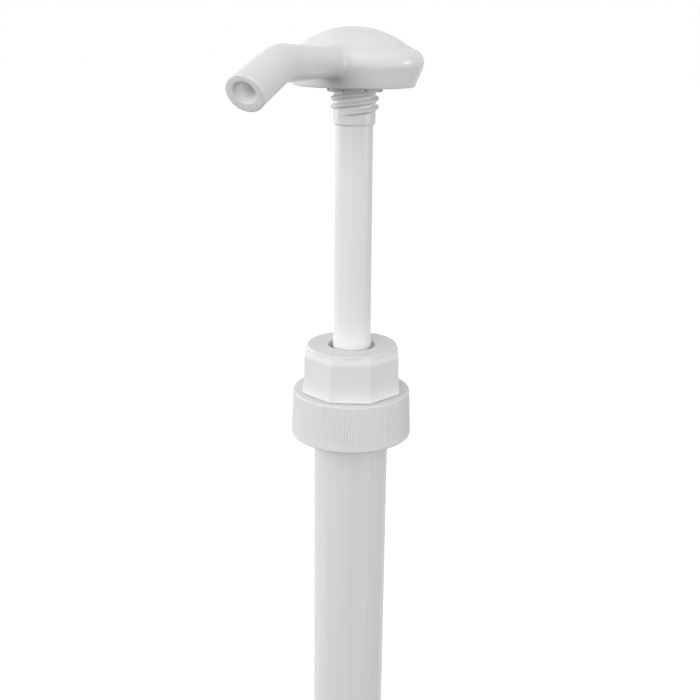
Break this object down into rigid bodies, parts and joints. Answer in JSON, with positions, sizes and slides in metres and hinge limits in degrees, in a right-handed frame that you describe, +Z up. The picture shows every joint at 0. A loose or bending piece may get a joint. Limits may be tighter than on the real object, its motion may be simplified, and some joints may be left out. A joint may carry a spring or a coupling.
{
  "type": "jug hand pump",
  "caption": "Hand pump with a domed pad, bent spout, threaded lock plug, eight-sided nut, ribbed screw closure, barrel and dip tube.",
  "frame": {"origin": "on the pump's axis, in the plane of the neck gasket's underside, where the jug's neck seals", "axes": "+Z up along the pump's axis, -Y along the spout"},
  "size_m": [0.0456, 0.1014, 0.3709],
  "materials": {
    "head_white": "smooth moulded polypropylene, soft gloss",
    "plug_white": "smooth moulded polypropylene",
    "stem_white": "smooth drafted polypropylene tube",
    "nut_white": "moulded polypropylene, satin flats",
    "cap_white": "finely ribbed polypropylene, satin",
    "barrel_white": "smooth polypropylene with faint draw marks",
    "guide_white": "plain polyethylene",
    "wiper_soft": "soft translucent ring",
    "gasket_foam": "foamed polyethylene sheet",
    "carrier_white": "plain polypropylene",
    "seal_soft": "waxy low density polyethylene",
    "ball_steel": "polished stainless steel",
    "stop_white": "plain polypropylene",
    "spring_steel": "drawn stainless wire",
    "cage_white_inner": "plain polypropylene",
    "tube_natural": "natural extruded polyethylene"
  },
  "bodies": {
    "barrel_body": {"barrel": "barrel_white", "lock_nut": "nut_white", "stem_guide": "guide_white", "stem_wiper": "wiper_soft", "neck_gasket": "gasket_foam", "inlet_ball_cage": "cage_white_inner", "dip_tube": "tube_natural", "return_spring": "spring_steel"},
    "closure": {"screw_cap": "cap_white"},
    "seal_body": {"piston_seal": "seal_soft"},
    "plunger": {"pump_head": "head_white", "lock_plug": "plug_white", "stem": "stem_white", "piston_carrier": "carrier_white", "outlet_ball_stop": "stop_white"},
    "upper_ball": {"outlet_ball": "ball_steel"},
    "lower_ball": {"inlet_ball": "ball_steel"}
  },
  "joints": [
    {"name": "closure_spin", "type": "hinge", "parent": "barrel_body", "child": "closure", "pos_m": [0, 0, 0], "axis": [0, 0, 1], "continuous": true},
    {"name": "plunger_slide", "type": "slide", "parent": "barrel_body", "child": "seal_body", "axis": [0, 0, 1], "range_m": [-0.0847, 0], "stiffness_N_per_m": 250, "springref_m": 0.03, "deforming": ["return_spring"]},
    {"name": "head_swivel", "type": "hinge", "parent": "seal_body", "child": "plunger", "pos_m": [0, 0, 0], "axis": [0, 0, 1], "continuous": true},
    {"name": "outlet_ball_lift", "type": "slide", "parent": "plunger", "child": "upper_ball", "axis": [0, 0, 1], "range_m": [0, 0.003]},
    {"name": "inlet_ball_lift", "type": "slide", "parent": "barrel_body", "child": "lower_ball", "axis": [0, 0, 1], "range_m": [0, 0.0031]}
  ]
}
